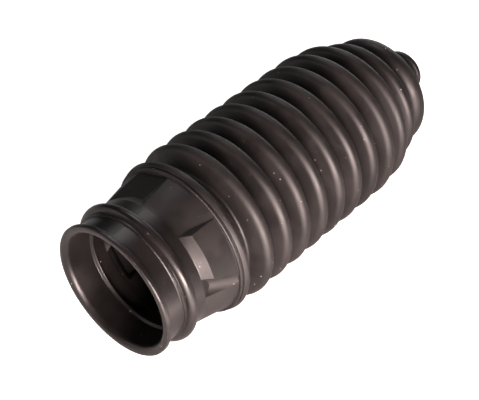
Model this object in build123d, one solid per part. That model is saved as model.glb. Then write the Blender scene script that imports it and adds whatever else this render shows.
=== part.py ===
"""Rubber bellows boot for a rod or joint, moulded in one piece.

Units are millimetres. The boot lies on its folds, as in the photograph: its axis runs along +Y, the wide
mouth faces -Y, and the full-size folds touch the floor at Z = 0. Every outline is drawn in a plane through
the axis, with x along the boot from the mouth and y outwards from the axis.
"""
import os
from math import asin, atan2, cos, degrees, dist, hypot, radians, sin, tan

from build123d import *

# The folds: eleven crests on one pitch, full size for eight, then three smaller ones towards the small end
fold_pitch = 11.6
fold_crest_radius = 36.3
fold_root_radius = 28.0
crest_round = 2.9
root_round = 1.1
full_fold_count = 8
first_fold_at = 53.9
wall = 1.5
ninth_crest_radius = 34.8
tenth_crest_radius = 30.5
ninth_root_radius = 27.2
tenth_root_radius = 24.8
last_root_radius = 21.8
last_crest_radius = 27.3
last_crest_round = 4.6
rest_flat_depth = 0.25

# The collar in front of the first fold: a thin lip, a fine groove and a rounded crest, over the neck's end
collar_from = 37.5
collar_lip_height = 1.3
collar_lip_length = 0.9
collar_groove_height = 0.9
collar_groove_length = 0.6
collar_edge_height = 1.8
collar_edge_round = 0.5
collar_crest_height = 2.2
collar_crest_round = 1.9
collar_crest_at = 40.9

# The wide cuff: lip, clamp seat, small step, stop rib and the plain band behind it
lip_radius = 30.3
lip_length = 2.6
lip_round = 0.8
clamp_seat_radius = 28.7
clamp_seat_length = 7.8
step_radius = 29.5
step_length = 1.1
rib_radius = 32.0
rib_length = 4.7
rib_round = 2.2
band_radius = 29.9
band_length = 5.2
cuff_fillet = 0.4

# Inside the wide cuff
bore_radius = 26.4
lead_in_round = 2.4
stop_at = 13.0
stop_height = 1.1
stop_length = 2.6

# The neck widens to the collar. Pads and pockets stand in pairs, opposite each other
neck_end_radius = 33.1
neck_wall = 1.9
pair_count = 2
pad_from_angle = 33.0
pad_to_angle = 95.0
pad_radius = 33.2
pad_foot_depth = 3.8
pad_ramp_length = 3.4
pad_first_side_facing = -17.0
pad_last_side_angle = 72.5
pad_last_side_at = 25.1
pad_last_side_out = 32.4
pad_last_side_facing = 140.0
pad_last_side_lean = 29.6
scoop_radius = 5.0
scoop_front_angle = 81.6
scoop_front_at = 25.1
scoop_front_out = 33.6
scoop_rear_angle = 88.0
scoop_rear_at = 37.6
scoop_rear_out = 38.1
pocket_floor_facing = -21.0
pocket_floor_lean = 17.0
pocket_floor_at = 25.8
pocket_floor_out = 28.2
pocket_wall_angle = -5.0
pocket_wall_facing = -38.0
pocket_slope_angle = 20.0

# The small cuff: a plain neck that seats a clamp, and an end lip
small_neck_radius = 9.6
small_shoulder_length = 8.7
small_neck_length = 12.0
small_shoulder_round = 2.0
small_lip_radius = 10.4
small_lip_length = 2.4
small_lip_round = 0.7
small_bore_radius = 7.0
small_bore_depth = 6.0
small_lead_in = 0.8

# Places along the axis, from the mouth
step_from = lip_length + clamp_seat_length
rib_from = step_from + step_length
band_from = rib_from + rib_length
neck_from = band_from + band_length
last_fold_at = first_fold_at + (full_fold_count + 2) * fold_pitch
small_neck_from = last_fold_at + small_shoulder_length
small_bore_from = small_neck_from + small_bore_depth
small_lip_from = small_neck_from + small_neck_length
overall_length = small_lip_from + small_lip_length
axis_height = fold_crest_radius - rest_flat_depth
collar_lip_radius = neck_end_radius + collar_lip_height
collar_groove_radius = neck_end_radius + collar_groove_height
collar_edge_radius = neck_end_radius + collar_edge_height
collar_crest_radius = neck_end_radius + collar_crest_height
neck_lean = degrees(atan2(neck_end_radius - band_radius, collar_from - neck_from))
over = 1.0
tiny = 0.001
cutter_size = 800.0
scoop_cutter_length = 60.0

mouth = (0, -overall_length / 2, axis_height)
boot_axis = Axis(mouth, (0, 1, 0))


def plane_at(angle: float) -> Plane:
    """Plane through the axis whose x runs along the boot and whose y points outwards at this angle from +Z."""
    tilt = radians(angle)
    return Plane(origin=mouth, x_dir=(0, 1, 0), z_dir=(cos(tilt), 0, -sin(tilt)))


def outline(turns: list) -> list:
    """Edges that run from turn to turn, as (along, out, radius): over a positive one, under a negative one."""
    pulls = []
    for (x1, y1, r1), (x2, y2, r2) in zip(turns, turns[1:]):
        lean = (r1 - r2) / hypot(x2 - x1, y2 - y1)
        heading = atan2(y2 - y1, x2 - x1) - asin(min(1.0, max(-1.0, lean)))
        pulls.append((-sin(heading), cos(heading)))
    edges = []
    here = turns[0][:2]
    for index, (x, y, r) in enumerate(turns):
        before = pulls[max(index - 1, 0)]
        after = pulls[min(index, len(pulls) - 1)]
        reach = (x + r * before[0], y + r * before[1])
        leave = (x + r * after[0], y + r * after[1])
        if index and dist(here, reach) > tiny:
            edges.append(Line(here, reach))
        if dist(reach, leave) > tiny:
            middle = (before[0] + after[0], before[1] + after[1])
            size = hypot(*middle)
            top = (x + r * middle[0] / size, y + r * middle[1] / size)
            edges.append(ThreePointArc(reach, top, leave))
        here = leave
    return edges


def turned(turns: list) -> Part:
    """Solid turned about the axis from an outline that starts and ends on it."""
    edges = outline(turns)
    edges.append(Line(edges[-1] @ 1, edges[0] @ 0))
    return revolve(make_face([plane_at(0) * edge for edge in edges]), boot_axis, 360)


def fold_turns(inset: float) -> list:
    """Crests and roots of the bellows, from the collar's crest to the last fold."""
    crests = [fold_crest_radius] * full_fold_count + [ninth_crest_radius, tenth_crest_radius]
    roots = [fold_root_radius] * full_fold_count + [ninth_root_radius, tenth_root_radius, last_root_radius]
    turns = [(collar_crest_at, collar_crest_radius - collar_crest_round, collar_crest_round - inset)]
    for index, root in enumerate(roots):
        root_at = first_fold_at + (index - 0.5) * fold_pitch
        turns.append((root_at, root + root_round, -root_round - inset))
        if index < len(crests):
            crest_at = first_fold_at + index * fold_pitch
            turns.append((crest_at, crests[index] - crest_round, crest_round - inset))
    turns.append((last_fold_at, last_crest_radius - last_crest_round, last_crest_round - inset))
    return turns


def outside() -> Part:
    """The boot's outer skin as a full solid, before the pads and pockets."""
    lip = lip_radius - lip_round
    rib = rib_radius - rib_round
    seat = clamp_seat_radius + cuff_fillet
    band = band_radius + cuff_fillet
    lip_out = collar_from + collar_lip_length
    small_lip = small_lip_radius - small_lip_round
    cuff = [
        (0, 0, 0),
        (lip_round, lip, lip_round),
        (lip_length - lip_round, lip, lip_round),
        (lip_length + cuff_fillet, seat, -cuff_fillet),
        (step_from - cuff_fillet, seat, -cuff_fillet),
        (step_from, step_radius, 0),
        (rib_from, step_radius, 0),
        (rib_from + rib_round, rib, rib_round),
        (band_from - rib_round, rib, rib_round),
        (band_from + cuff_fillet, band, -cuff_fillet),
        (neck_from, band_radius, 0),
        (collar_from, neck_end_radius, 0),
        (collar_from + cuff_fillet, collar_lip_radius - cuff_fillet, cuff_fillet),
        (lip_out, collar_lip_radius, 0),
        (lip_out, collar_groove_radius, 0),
        (lip_out + collar_groove_length, collar_groove_radius, 0),
        (lip_out + collar_groove_length + collar_edge_round, collar_edge_radius - collar_edge_round, collar_edge_round),
    ]
    small_end = [
        (small_neck_from + small_shoulder_round, small_neck_radius + small_shoulder_round, -small_shoulder_round),
        (small_lip_from, small_neck_radius, 0),
        (small_lip_from + small_lip_round, small_lip, small_lip_round),
        (overall_length - small_lip_round, small_lip, small_lip_round),
        (overall_length, 0, 0),
    ]
    return turned(cuff + fold_turns(0) + small_end)


def inside() -> Part:
    """The hollow, open past both ends, before the pads and pockets."""
    stop_radius = bore_radius - stop_height
    mouth_edge = bore_radius + lead_in_round
    cuff = [
        (-over, 0, 0),
        (-over, mouth_edge, 0),
        (0, mouth_edge, 0),
        (lead_in_round, mouth_edge, -lead_in_round),
        (stop_at, bore_radius, 0),
        (stop_at + stop_height, stop_radius + cuff_fillet, -cuff_fillet),
        (stop_at + stop_length, band_radius - neck_wall, 0),
        (neck_from, band_radius - neck_wall, 0),
        (collar_from, neck_end_radius - neck_wall, 0),
        (collar_crest_at - collar_crest_round + wall, neck_end_radius - neck_wall, 0),
    ]
    small_end = [
        (small_neck_from + small_shoulder_round, small_neck_radius + small_shoulder_round, -small_shoulder_round - wall),
        (small_bore_from, small_bore_radius, 0),
        (overall_length - small_lead_in, small_bore_radius, 0),
        (overall_length + over, small_bore_radius + small_lead_in + over, 0),
        (overall_length + over, 0, 0),
    ]
    return turned(cuff + fold_turns(wall) + small_end)


def outwards(angle: float) -> Vector:
    """Direction that points straight out from the axis at this angle."""
    return Vector(sin(radians(angle)), 0, cos(radians(angle)))


def spot(angle: float, along: float, out: float) -> Vector:
    """Point at this angle from +Z, this far along the boot and this far out from its axis."""
    return Vector(*mouth) + Vector(0, 1, 0) * along + outwards(angle) * out


def beyond(angle: float, along: float, out: float, facing: float, lean: float, inset: float) -> Part:
    """Block of all that lies beyond a flat facet, which is moved inwards by the inset.

    The facet passes through the place given by angle, along and out. It faces straight out at another angle,
    and leans towards the mouth by the last one.
    """
    tilt = radians(lean)
    axis = Vector(0, 1, 0)
    normal = outwards(facing) * cos(tilt) - axis * sin(tilt)
    place = spot(angle, along, out) - normal * inset
    facet = Plane(origin=place, x_dir=axis * cos(tilt) + outwards(facing) * sin(tilt), z_dir=normal)
    size = cutter_size
    return facet * Box(size, size, size, align=(Align.CENTER, Align.CENTER, Align.MIN))


def pad(turn: float, inset: float) -> Part:
    """One raised pad: a ramp at its front and a leaning side at each end."""
    foot = band_radius - pad_foot_depth
    side = plane_at(turn + pad_from_angle) * Polyline(
        (neck_from + inset, foot),
        (neck_from + inset, band_radius - inset),
        (neck_from + pad_ramp_length + inset, pad_radius - inset),
        (collar_from + over, pad_radius - inset),
        (collar_from + over, foot),
        close=True,
    )
    block = revolve(make_face(side), boot_axis, pad_to_angle - pad_from_angle)
    first = turn + pad_from_angle
    block -= beyond(first, neck_from, band_radius, turn + pad_first_side_facing, 0, inset)
    last = turn + pad_last_side_angle
    facing = turn + pad_last_side_facing
    return block - beyond(last, pad_last_side_at, pad_last_side_out, facing, pad_last_side_lean, inset)


def neck_ring(inset: float) -> Part:
    """All that lies over the neck, from a slope behind the band up to the collar."""
    slope = radians(pocket_slope_angle)
    front = neck_from - inset * sin(slope)
    edge = band_radius - inset * cos(slope)
    side = plane_at(0) * Polyline(
        (front, edge),
        (collar_from, edge - (collar_from - front) * tan(slope)),
        (collar_from, fold_crest_radius),
        (front, fold_crest_radius),
        close=True,
    )
    return revolve(make_face(side), boot_axis, 360)


def scoop(turn: float, inset: float) -> Part:
    """Cutter of the hollow beside a pad's last side, which gets shallower towards the collar."""
    front = spot(turn + scoop_front_angle, scoop_front_at, scoop_front_out)
    rear = spot(turn + scoop_rear_angle, scoop_rear_at, scoop_rear_out)
    core = Plane(origin=front, z_dir=rear - front) * Cylinder(scoop_radius + inset, scoop_cutter_length)
    return core & neck_ring(inset)


def pocket(turn: float, inset: float) -> Part:
    """One pocket's cutter: what lies beyond its front slope, its floor and the wall on its open side."""
    floor = turn + pocket_floor_facing
    wall_at = turn + pocket_wall_angle
    cutter = neck_ring(inset)
    cutter &= beyond(floor, pocket_floor_at, pocket_floor_out, floor, pocket_floor_lean, inset)
    cutter &= beyond(wall_at, neck_from, band_radius, turn + pocket_wall_facing, neck_lean, inset)
    return cutter


def boot() -> Part:
    """The whole moulding: outer skin less the hollow, with pads and pockets in both."""
    skin = outside()
    hollow = inside()
    for index in range(pair_count):
        turn = index * 360 / pair_count
        skin += pad(turn, 0)
        hollow += pad(turn, neck_wall)
        skin -= pocket(turn, 0)
        hollow -= pocket(turn, neck_wall)
        skin -= scoop(turn, 0)
        hollow -= scoop(turn, neck_wall)
    size = cutter_size
    floor = Box(size, size, size, align=(Align.CENTER, Align.CENTER, Align.MAX))
    return skin - hollow - floor


os.makedirs("parts", exist_ok=True)
bellows_boot = boot()
bellows_boot.label = "bellows_boot"
export_step(bellows_boot, "parts/bellows_boot.step")
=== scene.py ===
"""Looks of a rubber bellows boot: its rubber, the pale studio floor, the soft light and the camera.

The boot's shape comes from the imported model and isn't changed here. Lengths are in metres, in the model's
own frame: the boot lies along +Y with its wide mouth towards -Y, and the floor is at Z = 0.
"""

import logging
from dataclasses import dataclass, field
from enum import Enum
from math import cos, radians, sin

import bpy
from mathutils import Matrix, Vector


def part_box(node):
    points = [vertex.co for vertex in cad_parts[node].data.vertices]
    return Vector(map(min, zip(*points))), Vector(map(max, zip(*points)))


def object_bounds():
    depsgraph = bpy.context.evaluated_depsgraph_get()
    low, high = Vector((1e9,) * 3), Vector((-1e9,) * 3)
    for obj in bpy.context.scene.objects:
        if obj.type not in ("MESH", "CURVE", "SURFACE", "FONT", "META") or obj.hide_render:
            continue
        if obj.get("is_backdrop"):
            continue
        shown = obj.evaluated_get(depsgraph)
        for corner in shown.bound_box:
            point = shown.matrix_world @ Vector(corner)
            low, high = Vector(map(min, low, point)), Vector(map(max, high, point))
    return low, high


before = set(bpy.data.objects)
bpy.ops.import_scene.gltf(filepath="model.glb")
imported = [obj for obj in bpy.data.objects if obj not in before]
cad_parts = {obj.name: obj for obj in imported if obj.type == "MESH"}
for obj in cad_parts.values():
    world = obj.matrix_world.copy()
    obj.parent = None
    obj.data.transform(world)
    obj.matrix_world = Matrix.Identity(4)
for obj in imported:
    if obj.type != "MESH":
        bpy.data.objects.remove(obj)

log = logging.getLogger("bellows_boot")

Colour = tuple[float, float, float]

WHITE: Colour = (1.0, 1.0, 1.0)
WARM: Colour = (1.0, 0.82, 0.78)
FAINTLY_WARM: Colour = (1.0, 0.93, 0.92)

# The height of the boot's axis over the floor, and the millimetres in a metre, for the log
AXIS_HEIGHT = 0.03605
MM_PER_M = 1000


class Socket(Enum):
    """Kinds of input and output that the node groups have."""

    VALUE = "NodeSocketFloat"
    VECTOR = "NodeSocketVector"


class Facing(Enum):
    """Ways that a lamp can face."""

    BOOT = "towards the boot"
    UP = "straight up"


def rgba(colour: Colour) -> tuple[float, float, float, float]:
    """Gives a colour its alpha.

    Args:
        colour: Linear red, green and blue.

    Returns:
        The colour with an alpha of one.
    """
    return (*colour, 1.0)


class Graph:
    """Short words for placing and joining nodes in one tree."""

    def __init__(self, tree: bpy.types.NodeTree) -> None:
        """Starts on an emptied tree.

        Args:
            tree: The node tree to fill.
        """
        self.tree = tree
        tree.nodes.clear()

    def add(self, kind: str, settings: dict | None = None, **inputs: object) -> bpy.types.Node:
        """Places a node.

        Args:
            kind: The node's type name in Blender.
            settings: Properties of the node itself.
            inputs: Values or output sockets by input name, with underscores for spaces.

        Returns:
            The new node.
        """
        node = self.tree.nodes.new(kind)
        for name, value in (settings or {}).items():
            setattr(node, name, value)
        for name, value in inputs.items():
            self.put(node.inputs[name.replace("_", " ")], value)
        return node

    def put(self, socket: bpy.types.NodeSocket, value: object) -> None:
        """Sets a socket to a constant, or links it to an output.

        Args:
            socket: The input socket.
            value: A constant or an output socket.
        """
        if isinstance(value, bpy.types.NodeSocket):
            self.tree.links.new(value, socket)
        else:
            socket.default_value = value

    def maths(
        self, operation: str, first: object, second: object = 0.0, clamp: bool = False
    ) -> bpy.types.NodeSocket:
        """Places a Math node.

        Args:
            operation: The Math node's operation.
            first: First value or socket.
            second: Second value or socket.
            clamp: Whether the result is held between zero and one.

        Returns:
            The node's result.
        """
        node = self.add("ShaderNodeMath", {"operation": operation, "use_clamp": clamp})
        self.put(node.inputs[0], first)
        self.put(node.inputs[1], second)
        return node.outputs[0]

    def ramp(
        self, value: object, start: float, end: float, low: float = 0.0, high: float = 1.0
    ) -> bpy.types.NodeSocket:
        """Maps a range of a value smoothly onto another range.

        Args:
            value: The value to map.
            start: Where the source range starts.
            end: Where it ends.
            low: Result at the start.
            high: Result at the end.

        Returns:
            The mapped value.
        """
        smooth = {"interpolation_type": "SMOOTHSTEP"}
        ranges = {"From_Min": start, "From_Max": end, "To_Min": low, "To_Max": high}
        return self.add("ShaderNodeMapRange", smooth, Value=value, **ranges).outputs["Result"]

    def blend(self, factor: object, first: object, second: object) -> bpy.types.NodeSocket:
        """Mixes two colours.

        Args:
            factor: How much of the second colour shows.
            first: First colour or socket.
            second: Second colour or socket.

        Returns:
            The mixed colour.
        """
        node = self.add("ShaderNodeMix", {"data_type": "RGBA", "blend_type": "MIX"})
        self.put(node.inputs["Factor"], factor)
        self.put(node.inputs[6], first)
        self.put(node.inputs[7], second)
        return node.outputs[2]


class Effect:
    """A node group with named inputs and outputs, built once and placed in several materials."""

    name = "effect"
    inputs: tuple[tuple[str, Socket, float], ...] = ()
    outputs: tuple[tuple[str, Socket], ...] = ()

    def tree(self) -> bpy.types.NodeTree:
        """Finds the group, or builds it the first time.

        Returns:
            The group's node tree.
        """
        made = bpy.data.node_groups.get(self.name)
        if made:
            return made
        made = bpy.data.node_groups.new(self.name, "ShaderNodeTree")
        for name, kind, value in self.inputs:
            socket = made.interface.new_socket(name, in_out="INPUT", socket_type=kind.value)
            if kind is Socket.VALUE:
                socket.default_value = value
        for name, kind in self.outputs:
            made.interface.new_socket(name, in_out="OUTPUT", socket_type=kind.value)
        graph = Graph(made)
        source = graph.add("NodeGroupInput")
        result = graph.add("NodeGroupOutput")
        for name, value in self.fill(graph, source.outputs).items():
            graph.put(result.inputs[name], value)
        return made

    def fill(self, graph: Graph, given: bpy.types.bpy_prop_collection) -> dict[str, bpy.types.NodeSocket]:
        """Builds the effect's nodes.

        Args:
            graph: The group's graph.
            given: The group's input sockets, by name.

        Returns:
            Output sockets by output name.
        """
        raise NotImplementedError

    def place(self, graph: Graph, **inputs: object) -> bpy.types.NodeOutputs:
        """Places the group in a material.

        Args:
            graph: The material's graph.
            inputs: Values or sockets by input name.

        Returns:
            The placed group's outputs.
        """
        node = graph.add("ShaderNodeGroup", {"node_tree": self.tree()}, **inputs)
        return node.outputs


class FineGrain(Effect):
    """Fine grain of a moulded or painted face, with a slower unevenness under it."""

    name = "fine grain"
    grain_detail = 2.0
    patch_detail = 4.0
    patch_roughness = 0.6
    patch_from = 0.35
    patch_to = 0.65
    inputs = (
        ("Place", Socket.VECTOR, 0.0),
        ("Grain Size", Socket.VALUE, 0.0005),
        ("Patch Size", Socket.VALUE, 0.02),
    )
    outputs = (("Height", Socket.VALUE), ("Patches", Socket.VALUE))

    def fill(self, graph: Graph, given: bpy.types.bpy_prop_collection) -> dict[str, bpy.types.NodeSocket]:
        """Builds two noises.

        Args:
            graph: The group's graph.
            given: The group's input sockets.

        Returns:
            The grain's height and the patches' strength.
        """
        fine_scale = graph.maths("DIVIDE", 1.0, given["Grain Size"])
        wide_scale = graph.maths("DIVIDE", 1.0, given["Patch Size"])
        fine = graph.add(
            "ShaderNodeTexNoise", Vector=given["Place"], Scale=fine_scale, Detail=self.grain_detail
        )
        wide = graph.add(
            "ShaderNodeTexNoise",
            Vector=given["Place"],
            Scale=wide_scale,
            Detail=self.patch_detail,
            Roughness=self.patch_roughness,
        )
        patches = graph.ramp(wide.outputs[0], self.patch_from, self.patch_to)
        return {"Height": fine.outputs[0], "Patches": patches}


class DustSpecks(Effect):
    """Tiny round specks, scattered thinly."""

    name = "dust specks"
    smallest_share = 0.4
    soft_edge = 0.6
    inputs = (
        ("Place", Socket.VECTOR, 0.0),
        ("Spacing", Socket.VALUE, 0.004),
        ("Share", Socket.VALUE, 0.3),
        ("Speck Size", Socket.VALUE, 0.0002),
    )
    outputs = (("Mask", Socket.VALUE),)

    def fill(self, graph: Graph, given: bpy.types.bpy_prop_collection) -> dict[str, bpy.types.NodeSocket]:
        """Builds one speck in some of the cells of a Voronoi pattern.

        Args:
            graph: The group's graph.
            given: The group's input sockets.

        Returns:
            A mask that is one on a speck.
        """
        scale = graph.maths("DIVIDE", 1.0, given["Spacing"])
        cells = graph.add("ShaderNodeTexVoronoi", Vector=given["Place"], Scale=scale)
        luck = graph.add("ShaderNodeSeparateColor", Color=cells.outputs["Color"])
        chosen = graph.maths("LESS_THAN", luck.outputs["Red"], given["Share"])
        growth = graph.maths("ADD", luck.outputs["Green"], self.smallest_share)
        size = graph.maths("MULTIPLY", given["Speck Size"], growth)
        reach = graph.maths("MULTIPLY", size, scale)
        far = graph.maths("DIVIDE", cells.outputs["Distance"], reach)
        inside = graph.maths("SUBTRACT", 1.0, far, clamp=True)
        mask = graph.maths("MULTIPLY", graph.ramp(inside, 0.0, self.soft_edge), chosen)
        return {"Mask": mask}


@dataclass(frozen=True)
class RubberFinish:
    """Semi-matte black moulded rubber, a little warm, greyer in scuffed patches and dusty in spots, with
    painted light on the folds' crests and painted shade at their roots.

    The wide cuff is smoother than the neck and the folds: between cuff_from and cuff_to, which are places
    along the boot, the one turns into the other. Radii are from the boot's axis.
    """

    name: str = "moulded rubber"
    deep: Colour = (0.006, 0.0052, 0.0050)
    # Lighter grey for the scuffed patches, and for the painted light on the folds' crests
    worn_and_crest_light: Colour = (0.013, 0.0110, 0.0105)
    dust: Colour = (0.36, 0.33, 0.31)
    roughness: float = 0.53
    roughness_swing: float = 0.05
    cuff_roughness: float = 0.36
    cuff_from: float = -0.076
    cuff_to: float = -0.072
    grain_size: float = 0.00035
    grain_depth: float = 0.00001
    patch_size: float = 0.018
    edge_round: float = 0.00045
    speck_spacing: float = 0.0032
    speck_share: float = 0.45
    speck_size: float = 0.00028
    speck_roughness: float = 0.4
    root_radius: float = 0.0275
    crest_radius: float = 0.0363
    # How much of the greying gathers on the crests: scuffing, plus painted light on the crests and painted
    # shade at the roots
    crest_wear_and_light: float = 0.5
    edge_samples: int = 4
    refraction: float = 1.5

    def material(self) -> bpy.types.Material:
        """Builds the rubber.

        Returns:
            The material.
        """
        made = bpy.data.materials.new(self.name)
        made.use_nodes = True
        graph = Graph(made.node_tree)
        place = graph.add("ShaderNodeTexCoord").outputs["Object"]
        grain = FineGrain().place(graph, Place=place, Grain_Size=self.grain_size, Patch_Size=self.patch_size)
        specks = DustSpecks().place(
            graph, Place=place, Spacing=self.speck_spacing, Share=self.speck_share, Speck_Size=self.speck_size
        )
        # Painted light and shade along with scuffing: the patches show fully at the crests and half at the
        # roots, by distance from the axis
        crest = self.crest_mask(graph, place)
        wear_and_root_shade = graph.maths("ADD", graph.maths("MULTIPLY", crest, self.crest_wear_and_light), 1.0 - self.crest_wear_and_light)
        scuffs_and_shade = graph.maths("MULTIPLY", wear_and_root_shade, grain["Patches"])
        colour = graph.blend(scuffs_and_shade, rgba(self.deep), rgba(self.worn_and_crest_light))
        colour = graph.blend(specks["Mask"], colour, rgba(self.dust))
        smoothest = self.roughness - self.roughness_swing
        roughest = self.roughness + self.roughness_swing
        rough = graph.ramp(grain["Patches"], 0.0, 1.0, smoothest, roughest)
        along = graph.add("ShaderNodeSeparateXYZ", Vector=place).outputs["Y"]
        past_cuff = graph.ramp(along, self.cuff_from, self.cuff_to, self.cuff_roughness / self.roughness, 1.0)
        rough = graph.maths("MULTIPLY", rough, past_cuff)
        dusty = graph.maths("MULTIPLY", specks["Mask"], self.speck_roughness)
        rough = graph.maths("ADD", rough, dusty, clamp=True)
        soft = graph.add("ShaderNodeBevel", {"samples": self.edge_samples}, Radius=self.edge_round)
        bump = graph.add(
            "ShaderNodeBump",
            Strength=1.0,
            Distance=self.grain_depth,
            Height=grain["Height"],
            Normal=soft.outputs[0],
        )
        shader = graph.add(
            "ShaderNodeBsdfPrincipled",
            Base_Color=colour,
            Roughness=rough,
            IOR=self.refraction,
            Normal=bump.outputs[0],
        )
        output = graph.add("ShaderNodeOutputMaterial")
        graph.put(output.inputs["Surface"], shader.outputs[0])
        return made

    def crest_mask(self, graph: Graph, place: bpy.types.NodeSocket) -> bpy.types.NodeSocket:
        """Measures how near a point is to the crests, by its distance from the boot's axis.

        Args:
            graph: The material's graph.
            place: The point's place.

        Returns:
            Zero at the folds' roots and one at their crests.
        """
        parts = graph.add("ShaderNodeSeparateXYZ", Vector=place)
        up = graph.maths("SUBTRACT", parts.outputs["Z"], AXIS_HEIGHT)
        across = graph.maths("MULTIPLY", parts.outputs["X"], parts.outputs["X"])
        out = graph.maths("SQRT", graph.maths("ADD", across, graph.maths("MULTIPLY", up, up)))
        return graph.ramp(out, self.root_radius, self.crest_radius)


@dataclass(frozen=True)
class FloorFinish:
    """Plain pale studio floor, which shows white to the camera apart from the boot's shadow."""

    name: str = "pale floor"
    colour: Colour = (0.86, 0.86, 0.85)
    smoothest: float = 0.85
    roughest: float = 0.95
    specular: float = 0.1
    camera_glow: float = 0.92
    mirrored_share: float = 0.12
    grain_size: float = 0.0006
    patch_size: float = 0.3

    def material(self) -> bpy.types.Material:
        """Builds the floor's finish.

        Returns:
            The material.
        """
        made = bpy.data.materials.new(self.name)
        made.use_nodes = True
        graph = Graph(made.node_tree)
        place = graph.add("ShaderNodeTexCoord").outputs["Object"]
        grain = FineGrain().place(graph, Place=place, Grain_Size=self.grain_size, Patch_Size=self.patch_size)
        rough = graph.ramp(grain["Patches"], 0.0, 1.0, self.smoothest, self.roughest)
        shader = graph.add(
            "ShaderNodeBsdfPrincipled",
            Base_Color=rgba(self.colour),
            Roughness=rough,
            Specular_IOR_Level=self.specular,
        )
        path = graph.add("ShaderNodeLightPath")
        mirrored = graph.maths("MULTIPLY", path.outputs["Is Glossy Ray"], self.mirrored_share)
        seen = graph.maths("MAXIMUM", path.outputs["Is Camera Ray"], mirrored)
        strength = graph.maths("MULTIPLY", seen, self.camera_glow)
        glow = graph.add("ShaderNodeEmission", Color=rgba(WHITE), Strength=strength)
        both = graph.add("ShaderNodeAddShader")
        graph.put(both.inputs[0], shader.outputs[0])
        graph.put(both.inputs[1], glow.outputs[0])
        output = graph.add("ShaderNodeOutputMaterial")
        graph.put(output.inputs["Surface"], both.outputs[0])
        return made


@dataclass
class BellowsBoot:
    """The boot itself: one moulded piece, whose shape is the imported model's."""

    node: str = "bellows_boot"
    finish: RubberFinish = field(default_factory=RubberFinish)

    def build(self) -> None:
        """Dresses the moulding in rubber."""
        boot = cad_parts[self.node]
        boot.data.materials.clear()
        boot.data.materials.append(self.finish.material())
        low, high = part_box(self.node)
        length, width = (high.y - low.y) * MM_PER_M, (high.x - low.x) * MM_PER_M
        log.info("%s: %.1f mm long, %.1f mm across", self.node, length, width)


@dataclass
class StudioFloor:
    """Large flat floor that the boot lies on."""

    name: str = "studio_floor"
    half_size: float = 6.0
    finish: FloorFinish = field(default_factory=FloorFinish)

    def build(self) -> None:
        """Makes the floor."""
        reach = self.half_size
        corners = [(-reach, -reach, 0.0), (reach, -reach, 0.0), (reach, reach, 0.0), (-reach, reach, 0.0)]
        mesh = bpy.data.meshes.new(self.name)
        mesh.from_pydata(corners, [], [(0, 1, 2, 3)])
        mesh.materials.append(self.finish.material())
        floor = bpy.data.objects.new(self.name, mesh)
        bpy.context.scene.collection.objects.link(floor)
        floor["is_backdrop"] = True
        log.info("%s: %.0f m across", self.name, 2 * reach)


@dataclass(frozen=True)
class SoftPanel:
    """One soft rectangular lamp, hung by its direction and distance from the boot. It doesn't show itself.

    Its azimuth is turned from +X towards +Y, and its elevation is above the middle of the boot, in degrees.
    """

    name: str
    azimuth: float
    elevation: float
    distance: float
    width: float
    height: float
    watts: float
    colour: Colour
    facing: Facing = Facing.BOOT

    def build(self, target: Vector) -> None:
        """Hangs the lamp.

        Args:
            target: The middle of the boot.
        """
        turn, rise = radians(self.azimuth), radians(self.elevation)
        away = Vector((cos(rise) * cos(turn), cos(rise) * sin(turn), sin(rise)))
        lamp = bpy.data.lights.new(self.name, "AREA")
        lamp.shape = "RECTANGLE"
        lamp.size = self.width
        lamp.size_y = self.height
        lamp.energy = self.watts
        lamp.color = self.colour
        made = bpy.data.objects.new(self.name, lamp)
        made.location = target + away * self.distance
        made.rotation_mode = "QUATERNION"
        ahead = -away if self.facing is Facing.BOOT else Vector((0.0, 0.0, 1.0))
        made.rotation_quaternion = ahead.to_track_quat("-Z", "Y")
        made.visible_camera = False
        bpy.context.scene.collection.objects.link(made)
        log.info("%s: %.1f W", self.name, self.watts)


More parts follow.
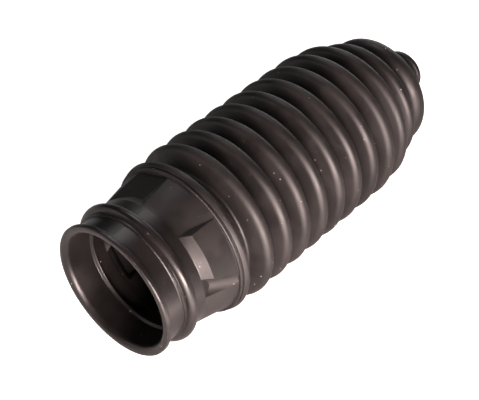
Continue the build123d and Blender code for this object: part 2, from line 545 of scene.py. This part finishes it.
@dataclass
class StudioLight:
    """Soft light in a dim room.

    A low warm panel stands at the front right, with a card on the floor under it and weaker panels elsewhere.
    """

    # Each has its name, azimuth, elevation, distance, width, height, watts and colour
    panels: tuple[SoftPanel, ...] = (
        SoftPanel("right_panel", -30.0, 7.5, 0.7, 0.5, 0.18, 17.0, (1.0, 0.80, 0.76)),
        SoftPanel("front_panel", -68.0, 6.5, 0.7, 0.25, 0.15, 0.7, WARM),
        SoftPanel("low_card", -34.0, -6.0, 0.34, 0.4, 0.3, 1.8, WARM, Facing.UP),
        SoftPanel("back_left_panel", 222.0, 14.0, 0.8, 0.5, 0.25, 0.5, FAINTLY_WARM),
        SoftPanel("back_panel", 112.0, 16.0, 0.8, 0.6, 0.25, 1.4, (1.0, 0.98, 0.97)),
        SoftPanel("top_left_panel", 150.0, 58.0, 0.8, 0.3, 0.3, 1.3, FAINTLY_WARM),
    )
    room_bright: Colour = (0.06, 0.06, 0.06)
    room_dim: Colour = (0.015, 0.015, 0.015)
    bright_side: tuple[float, float, float] = (0.6, 0.75, -0.1)
    dim_until: float = -0.5
    bright_from: float = 0.9
    backdrop: Colour = WHITE

    def build(self, target: Vector) -> None:
        """Hangs the lamps and lights the room.

        Args:
            target: The middle of the boot.
        """
        for panel in self.panels:
            panel.build(target)
        self.room()

    def room(self) -> None:
        """Makes the dim room, a little brighter behind the boot, and white to the camera alone."""
        world = bpy.data.worlds.new("dim room")
        bpy.context.scene.world = world
        world.use_nodes = True
        graph = Graph(world.node_tree)
        way = graph.add("ShaderNodeTexCoord").outputs["Generated"]
        side = graph.add("ShaderNodeVectorMath", {"operation": "DOT_PRODUCT"})
        graph.put(side.inputs[0], way)
        graph.put(side.inputs[1], Vector(self.bright_side).normalized())
        share = graph.ramp(side.outputs["Value"], self.dim_until, self.bright_from)
        colour = graph.blend(share, rgba(self.room_dim), rgba(self.room_bright))
        path = graph.add("ShaderNodeLightPath")
        colour = graph.blend(path.outputs["Is Camera Ray"], colour, rgba(self.backdrop))
        shell = graph.add("ShaderNodeBackground", Color=colour)
        output = graph.add("ShaderNodeOutputWorld")
        graph.put(output.inputs["Surface"], shell.outputs[0])


@dataclass(frozen=True)
class Viewpoint:
    """The photograph's viewpoint, set by where the mouth's centre shows in its frame.

    The azimuth is turned from +Y towards -X, as the camera looks, and the elevation is above the floor.
    Pixels are those of the photograph's frame.
    """

    picture_width: int = 479
    picture_height: int = 400
    azimuth: float = 41.58
    elevation: float = 42.88
    focal_pixels: float = 1200.0
    mouth_depth: float = 0.468
    mouth_pixel: tuple[float, float] = (111.8, 292.8)
    sensor_width: float = 36.0

    def build(self, mouth_y: float) -> None:
        """Stands the camera.

        Args:
            mouth_y: Where the mouth is along the boot's axis.
        """
        turn, rise = radians(self.azimuth), radians(self.elevation)
        ahead = Vector((-sin(turn) * cos(rise), cos(turn) * cos(rise), -sin(rise)))
        right = Vector((cos(turn), sin(turn), 0.0))
        down = ahead.cross(right)
        across = (self.mouth_pixel[0] - self.picture_width / 2) / self.focal_pixels
        below = (self.mouth_pixel[1] - self.picture_height / 2) / self.focal_pixels
        mouth = Vector((0.0, mouth_y, AXIS_HEIGHT))
        lens = bpy.data.cameras.new("photo_camera")
        lens.sensor_width = self.sensor_width
        lens.lens = self.focal_pixels / self.picture_width * self.sensor_width
        camera = bpy.data.objects.new("photo_camera", lens)
        stand = mouth - (ahead + right * across + down * below) * self.mouth_depth
        axes = Matrix((right, -down, -ahead)).transposed().to_4x4()
        camera.matrix_world = Matrix.Translation(stand) @ axes
        bpy.context.scene.collection.objects.link(camera)
        bpy.context.scene.camera = camera
        away = (mouth - stand).length * MM_PER_M
        log.info("camera: %.1f mm lens, %.0f mm from the mouth", lens.lens, away)


def main() -> None:
    """Builds the boot, its floor, the light and the camera."""
    logging.basicConfig(level=logging.INFO, format="%(message)s")
    frame_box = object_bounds()
    low, high = frame_box
    BellowsBoot().build()
    StudioFloor().build()
    StudioLight().build((Vector(low) + Vector(high)) / 2)
    Viewpoint().build(low[1])
    bpy.context.scene.view_settings.view_transform = "Standard"


if __name__ == "__main__":
    main()
